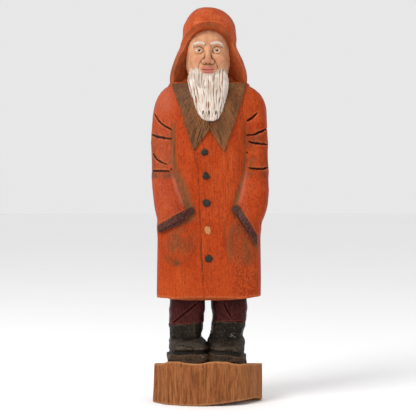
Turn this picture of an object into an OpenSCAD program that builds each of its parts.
// Carved and painted wooden figurine: an old seafarer in a long oilskin coat and a brimmed storm hat,
// built up from separately carved pieces on a hewn block and held together by dowels and glue.
// The front faces -Y and +Z is up. The origin is the centre of the base's underside. Millimetres.
// Right and left are the figure's own: its right side is at -X.

/* [Base] */
// Width of the hewn base block
base_w = 83; // [78:1:88]
// Depth of the hewn base block
base_d = 56; // [54:1:62]
// Height of the base block, up to the boot soles
base_h = 30; // [24:1:40]

/* [Legs and boots] */
// Height of the boots
boot_h = 30; // [26:1:34]
// Height of the trousers that show between the boots and the hem
trouser_h = 20; // [16:1:26]
// Width of one trouser leg
leg_w = 26.5; // [22:0.5:27]
// Distance from the middle of the figure to the middle of each leg
leg_x = 15.6; // [15:0.2:17]

/* [Coat] */
// Width of the coat's skirt
coat_w = 78.6; // [74:0.2:82]
// Depth of the coat's skirt
coat_d = 50; // [46:1:52]
// Height from the hem to the seat of the neck
coat_h = 160; // [156:1:166]
// Width of the coat between the sleeves
chest_w = 58; // [56:1:60]
// Overall width across the two sleeves
sleeves_w = 89; // [87:0.5:91]

/* [Collar and trim] */
// Thickness of the collar leaves and the pocket welts
trim_t = 1.6; // [1.2:0.1:2.2]
// Width of a pocket welt
welt_w = 4.6; // [4:0.2:5.4]
// Diameter of a button's head
button_d = 6.2; // [5:0.2:7]
// Height of a button's head above the cloth
button_t = 1.8; // [1.2:0.1:2.4]

/* [Head] */
// Height of the head above the neck seat
head_h = 47; // [44:1:50]
// Width of the head across the temples
head_w = 34; // [33:1:36]
// Width of the hat's crown
crown_w = 42.6; // [41:0.2:45]
// Width of the hat's neck flap
flap_w = 58.6; // [56:0.2:60]
// Height of the hat
hat_h = 59.2; // [57:0.2:62]
// Length of the beard
beard_l = 41; // [36:1:46]

/* [Joinery] */
// Diameter of the neck dowel and the leg dowels
dowel_d = 8; // [6:0.5:9]
// Diameter of the dowels in the sleeves and the hat
small_dowel_d = 5; // [4:0.5:6]
// Gap left for glue around each dowel and peg
glue_gap = 0.05; // [0.05:0.05:0.1]

/* [Hidden] */
$fn = 48;
SIDES = 36;

hem_z = base_h + boot_h + trouser_h;
neck_z = hem_z + coat_h;
head_top_z = neck_z + head_h;
hat_bottom_z = neck_z + 0.8;
hat_top_z = hat_bottom_z + hat_h;

base_socket = 16;
coat_socket = 20;
neck_socket = 18;
sleeve_dowel_z = [175, 214];
sleeve_dowel_y = 1;
sleeve_dowel_x = [20, 38];
hat_dowel_z = [head_top_z - 12, head_top_z + 6];

// Where each button sits: [x, height above the hem]. The fourth one has broken off.
button_spots = [[-3.4, 108.9], [-2.3, 91.3], [-1.9, 71], [-1, 50.7], [-0.1, 29.8]];
lost_button = 3;
peg_d = 2.4;
peg_l = 6;

// A carved outline's ring: [z, centre x, centre y, half width, half depth, squareness].
// Squareness 2 is an ellipse, and 4 is nearly a rectangle with round corners.

coat_rings = [
    [hem_z, 0, -0.5, coat_w / 2 - 1.6, coat_d / 2 - 2.2, 4.2],
    [hem_z + 3, 0, -0.5, coat_w / 2, coat_d / 2, 4.2],
    [hem_z + 34, 0, -0.5, coat_w / 2 - 0.4, coat_d / 2, 4.2],
    [hem_z + 52, 0, -0.5, coat_w / 2 - 0.9, coat_d / 2 - 0.2, 4.2],
    [hem_z + 60, 0, -0.5, coat_w / 2 - 2.5, coat_d / 2 - 0.5, 4],
    [hem_z + 72, 0, -0.5, chest_w / 2 + 1, coat_d / 2 - 1, 3.8],
    [hem_z + 98, 0, -0.5, chest_w / 2, coat_d / 2 - 1.6, 3.6],
    [hem_z + 125, 0, -0.5, chest_w / 2, coat_d / 2 - 2, 3.4],
    [hem_z + 142, 0, 0, chest_w / 2 - 0.5, coat_d / 2 - 3.4, 3],
    [hem_z + 152, 0, 0.5, chest_w / 2 - 2, coat_d / 2 - 6, 2.6],
    [neck_z, 0, 1, chest_w / 2 - 4, coat_d / 2 - 9, 2.4],
];

function sleeve_out(share) = sleeves_w / 2 - share;

// Each ring runs from the sleeve's outer face inwards: [z, inset of outer face, centre y, half width, half depth].
sleeve_rows = [
    [124, 9, -10, 7, 9],
    [132, 5.8, -10.5, 10.5, 13],
    [141, 4, -10, 11.6, 14.8],
    [150, 2.2, -7.5, 11.2, 15.6],
    [160, 0.7, -4, 10.9, 15.4],
    [172, 0.1, -1, 11.2, 15],
    [190, 0, 0.5, 11.2, 15],
    [206, 0.3, 1, 11, 14.8],
    [219, 1.2, 1, 11, 14.2],
    [228, 3, 1, 11, 13],
    [234, 5.6, 1, 10.6, 11.6],
    [236.8, 9.4, 1, 9, 9.6],
    [238.4, 14, 1, 6, 7.4],
];

head_rings = [
    [neck_z, 0, 0, 13, 12, 2.2],
    [neck_z + 3, 0, -1, 14.5, 14.5, 2.2],
    [neck_z + 10, 0, -1.5, 16.2, 17, 2.2],
    [neck_z + 20, 0, -1, head_w / 2, 18.5, 2.2],
    [neck_z + 30, 0, 0, head_w / 2, 18.8, 2.2],
    [neck_z + 39, 0, 0.5, head_w / 2 - 2.5, 17, 2.1],
    [neck_z + 44, 0, 1, head_w / 2 - 6.5, 12.5, 2],
    [head_top_z, 0, 1, head_w / 2 - 11.5, 6.5, 2],
];

hat_rings = [
    [hat_bottom_z, 0, 3.4, flap_w / 2, 21.6, 2.3],
    [hat_bottom_z + 4, 0, 3.2, flap_w / 2, 21.8, 2.3],
    [hat_bottom_z + 12, 0, 2.6, flap_w / 2 - 1.9, 21.9, 2.3],
    [hat_bottom_z + 21, 0, 1.6, flap_w / 2 - 4.9, 22, 2.3],
    [hat_bottom_z + 29, 0, 0.4, crown_w / 2 + 0.7, 22.6, 2.3],
    [hat_bottom_z + 37, 0, -0.6, crown_w / 2, 23.2, 2.3],
    [hat_bottom_z + 44, 0, -0.4, crown_w / 2 - 0.8, 22.4, 2.3],
    [hat_bottom_z + 50, 0, 0, crown_w / 2 - 3.4, 19.4, 2.2],
    [hat_bottom_z + 55, 0, 0.4, crown_w / 2 - 8, 14.4, 2.1],
    [hat_bottom_z + 58, 0, 0.6, crown_w / 2 - 13, 8.8, 2],
    [hat_top_z, 0, 0.6, crown_w / 2 - 18, 3.4, 2],
];

beard_rings = [
    [neck_z + 13 - beard_l, 0, -24.6, 3, 2, 2.4],
    [neck_z + 15.5 - beard_l, 0, -22.8, 6.6, 4.4, 2.4],
    [neck_z + 20 - beard_l, 0, -21, 9.4, 6.6, 2.6],
    [neck_z + 29 - beard_l, 0, -18.4, 12.3, 9.2, 2.6],
    [neck_z + 1, 0, -14.8, 15.2, 11.2, 2.6],
    [neck_z + 6, 0, -13.4, 16, 9.8, 2.4],
    [neck_z + 13, 0, -11.5, 16.4, 8.4, 2.4],
];

trouser_rings = [
    [base_h + boot_h, 0, 0, leg_w / 2 - 0.5, 14, 2.8],
    [base_h + boot_h + 6, 0, 0, leg_w / 2 + 0.1, 14.6, 2.8],
    [base_h + boot_h + 13, 0, 0, leg_w / 2 - 0.2, 14.4, 2.8],
    [hem_z, 0, 0, leg_w / 2, 14.8, 2.8],
];

boot_rings = [
    [base_h, 0, -5, 14.6, 19, 2.7],
    [base_h + 7, 0, -5, 14.4, 19, 2.7],
    [base_h + 8, 0, -4.8, 13.7, 18.4, 2.7],
    [base_h + 13, 0, -3.8, 13.6, 17.6, 2.6],
    [base_h + 18, 0, -1.6, 12.9, 15.8, 2.6],
    [base_h + 22, 0, 0, 12.2, 14, 2.6],
    [base_h + 27, 0, 0, 12.8, 14.4, 2.6],
    [base_h + boot_h, 0, 0, 13.2, 14.8, 2.6],
];

base_outline = [
    [-0.5, -0.1], [-0.385, -0.335], [-0.23, -0.45], [-0.07, -0.5], [0.13, -0.48], [0.27, -0.42],
    [0.37, -0.3], [0.5, 0.02], [0.5, 0.2], [0.38, 0.36], [0.2, 0.48], [0, 0.5],
    [-0.25, 0.46], [-0.42, 0.32], [-0.5, 0.12],
];

// Half of the collar as [distance from the middle, height above the neck seat]: a pointed leaf at
// the front, and a plain turned-down band at the back.
collar_leaf = [[0, -34.4], [11.4, -50.4], [20.3, -24], [27.4, -2], [28, 8], [0, 8]];
collar_band = [[0, -15], [20, -14], [30, -8], [30, 8], [0, 8]];

function power(x, e) = sign(x) * pow(abs(x), e);

function ring_point(r, angle, grow) = [
    r[1] + (r[3] + grow) * power(cos(angle), 2 / r[5]),
    r[2] + (r[4] + grow) * power(sin(angle), 2 / r[5]),
    r[0],
];

// A closed solid through a list of rings, from the lowest ring to the highest.
module loft(rings, grow = 0) {
    last = len(rings) - 1;
    points = [for (r = rings) for (i = [0:SIDES - 1]) ring_point(r, i * 360 / SIDES, grow)];
    walls = [
        for (k = [0:last - 1]) for (i = [0:SIDES - 1])
            let (a = k * SIDES + i, b = k * SIDES + (i + 1) % SIDES)
                each [[a, a + SIDES, b + SIDES], [a, b + SIDES, b]]
    ];
    bottom = [for (i = [0:SIDES - 1]) i];
    top = [for (i = [SIDES - 1:-1:0]) last * SIDES + i];
    polyhedron(points, concat([bottom], walls, [top]));
}

// A piece whose curved faces are cut to fit curved neighbours, worked out as one surface.
module carved() {
    resize([0, 0, 0]) children();
}

// Extrudes a front view (x, z) through the whole depth of the figure.
module through_depth(from_y = -60, to_y = 60) {
    translate([0, to_y, 0]) rotate([90, 0, 0]) linear_extrude(to_y - from_y) children();
}

// side is -1 for the figure's right and 1 for its left.
function sleeve_rings(side) = [
    for (r = sleeve_rows)
        [r[0], side * (sleeve_out(r[1]) - r[3]), r[2], r[3], r[4], 2.4]
];

function coat_front_y(z) = lookup(z, [for (r = coat_rings) [r[0], r[2] - r[4]]]);

function button_x(i) = button_spots[i][0];
function button_z(i) = hem_z + button_spots[i][1];

module peg_hole(i) {
    translate([button_x(i), coat_front_y(button_z(i)) + peg_l, button_z(i)])
        rotate([90, 0, 0]) cylinder(d = peg_d + 2 * glue_gap, h = 2 * peg_l);
}

module leg_bore(side) {
    translate([side * leg_x, 0, base_h - base_socket])
        cylinder(d = dowel_d + 2 * glue_gap, h = hem_z - base_h + base_socket + coat_socket);
}

module neck_bore() {
    translate([0, 0, neck_z - neck_socket])
        cylinder(d = dowel_d + 2 * glue_gap, h = 2 * neck_socket);
}

module hat_bore() {
    translate([0, 0, hat_dowel_z[0]])
        cylinder(d = small_dowel_d + 2 * glue_gap, h = hat_dowel_z[1] - hat_dowel_z[0]);
}

module sleeve_dowel_row(side, diameter) {
    for (z = sleeve_dowel_z)
        translate([side * sleeve_dowel_x[0], sleeve_dowel_y, z])
            rotate([0, side * 90, 0]) cylinder(d = diameter, h = sleeve_dowel_x[1] - sleeve_dowel_x[0]);
}

module base_block() {
    color("#945a36") difference() {
        linear_extrude(base_h) polygon([for (p = base_outline) [p[0] * base_w, p[1] * base_d]]);
        for (side = [-1, 1]) leg_bore(side);
    }
}

module boot(side) {
    color("#33291f") difference() {
        translate([side * leg_x, 0, 0]) loft(boot_rings);
        leg_bore(side);
    }
}

module trouser_leg(side) {
    color("#48221f") difference() {
        translate([side * leg_x, 0, 0]) loft(trouser_rings);
        leg_bore(side);
    }
}

module leg_dowel(side) {
    color("#c9a26b") translate([side * leg_x, 0, base_h - base_socket])
        cylinder(d = dowel_d, h = hem_z - base_h + base_socket + coat_socket);
}

module coat_body() {
    color("#b84a25") difference() {
        loft(coat_rings);
        for (side = [-1, 1]) {
            leg_bore(side);
            sleeve_dowel_row(side, small_dowel_d + 2 * glue_gap);
        }
        for (i = [0:len(button_spots) - 1]) peg_hole(i);
        neck_bore();
    }
}

module sleeve(side) {
    color("#b14e28") difference() {
        carved() difference() {
            loft(sleeve_rings(side));
            loft(coat_rings);
        }
        sleeve_dowel_row(side, small_dowel_d + 2 * glue_gap);
    }
}

module sleeve_dowels(side) {
    color("#c9a26b") sleeve_dowel_row(side, small_dowel_d);
}

// One side of the collar: cloth of one thickness over the coat and the shoulder, cut to its outline.
module collar_shell(side) {
    intersection() {
        union() {
            loft(coat_rings, trim_t);
            loft(sleeve_rings(side), trim_t);
        }
        union() {
            through_depth(to_y = 0) scale([side, 1]) translate([0, neck_z]) polygon(collar_leaf);
            through_depth(from_y = 0) scale([side, 1]) translate([0, neck_z]) polygon(collar_band);
        }
    }
}

module collar(side) {
    color("#7f5232") carved() difference() {
        collar_shell(side);
        loft(coat_rings);
        loft(sleeve_rings(side));
        translate([0, 0, neck_z]) cylinder(r = 100, h = 20);
    }
}

// A strip across the coat's front, from its upper inner end to its lower outer end.
module welt_strip(inner, outer) {
    run = outer - inner;
    translate(inner) rotate(atan2(run[1], run[0]))
        translate([0, -welt_w / 2]) square([norm(run), welt_w]);
}

module pocket_welt(side, inner, outer) {
    color("#5b3029") carved() difference() {
        intersection() {
            union() {
                loft(coat_rings, trim_t);
                loft(sleeve_rings(side), trim_t);
            }
            through_depth(to_y = -6) welt_strip(inner, outer);
        }
        loft(coat_rings);
        loft(sleeve_rings(side));
    }
}

module button(i) {
    seat_y = coat_front_y(button_z(i));
    color("#2c2926") translate([button_x(i), seat_y, button_z(i)]) rotate([90, 0, 0]) {
        rotate_extrude() polygon([
            [0, 0], [button_d / 2, 0], [button_d / 2, 0.6 * button_t],
            [0.36 * button_d, button_t], [0, button_t],
        ]);
        translate([0, 0, 1 - peg_l]) cylinder(d = peg_d, h = peg_l - 1);
    }
}

// What is left in its hole where a button has broken off.
module lost_button_peg() {
    z = button_z(lost_button);
    color("#c39468") translate([button_x(lost_button), coat_front_y(z), z])
        rotate([90, 0, 0]) translate([0, 0, 1 - peg_l]) cylinder(d = peg_d, h = peg_l - 0.9);
}

module head() {
    color("#d69f79") difference() {
        loft(head_rings);
        neck_bore();
        hat_bore();
    }
}

module beard() {
    color("#d7c6b8") carved() difference() {
        loft(beard_rings);
        loft(head_rings);
        loft(coat_rings);
        for (side = [-1, 1]) collar_shell(side);
    }
}

module neck_dowel() {
    color("#c9a26b") translate([0, 0, neck_z - neck_socket])
        cylinder(d = dowel_d, h = 2 * neck_socket);
}

// The arched opening that the face looks out of: full width as far back as the flap's rim, then
// closing in to the head behind the cheeks.
module face_opening() {
    hull() {
        through_depth(-40, -8) opening_outline(flap_w / 2 - 3.3, 43.2);
        through_depth(-3, -2) opening_outline(head_w / 2, 39);
    }
}

// half_width is at the hat's lower edge, and height is from below that edge to the top of the arch.
module opening_outline(half_width, height) {
    translate([0, neck_z - 1]) intersection() {
        scale([half_width, height]) circle(1);
        translate([-half_width, 0]) square([2 * half_width, height]);
    }
}

module hat() {
    color("#ba5735") difference() {
        carved() difference() {
            loft(hat_rings);
            loft(head_rings);
            loft(beard_rings);
            face_opening();
        }
        hat_bore();
    }
}

module hat_dowel() {
    color("#c9a26b") translate([0, 0, hat_dowel_z[0]])
        cylinder(d = small_dowel_d, h = hat_dowel_z[1] - hat_dowel_z[0]);
}

base_block();
boot(-1);  // boot_right
boot(1);  // boot_left
trouser_leg(-1);  // trouser_leg_right
trouser_leg(1);  // trouser_leg_left
leg_dowel(-1);  // leg_dowel_right
leg_dowel(1);  // leg_dowel_left
coat_body();
sleeve(-1);  // sleeve_right
sleeve(1);  // sleeve_left
sleeve_dowels(-1);  // sleeve_dowels_right
sleeve_dowels(1);  // sleeve_dowels_left
collar(-1);  // collar_right
collar(1);  // collar_left
pocket_welt(-1, [-12, 145.2], [-38.4, 131.8]);  // pocket_welt_right
pocket_welt(1, [18.9, 148.6], [35.6, 123]);  // pocket_welt_left
button(0);  // button_1
button(1);  // button_2
button(2);  // button_3
button(4);  // button_5
lost_button_peg();
head();
beard();
neck_dowel();
hat();
hat_dowel();
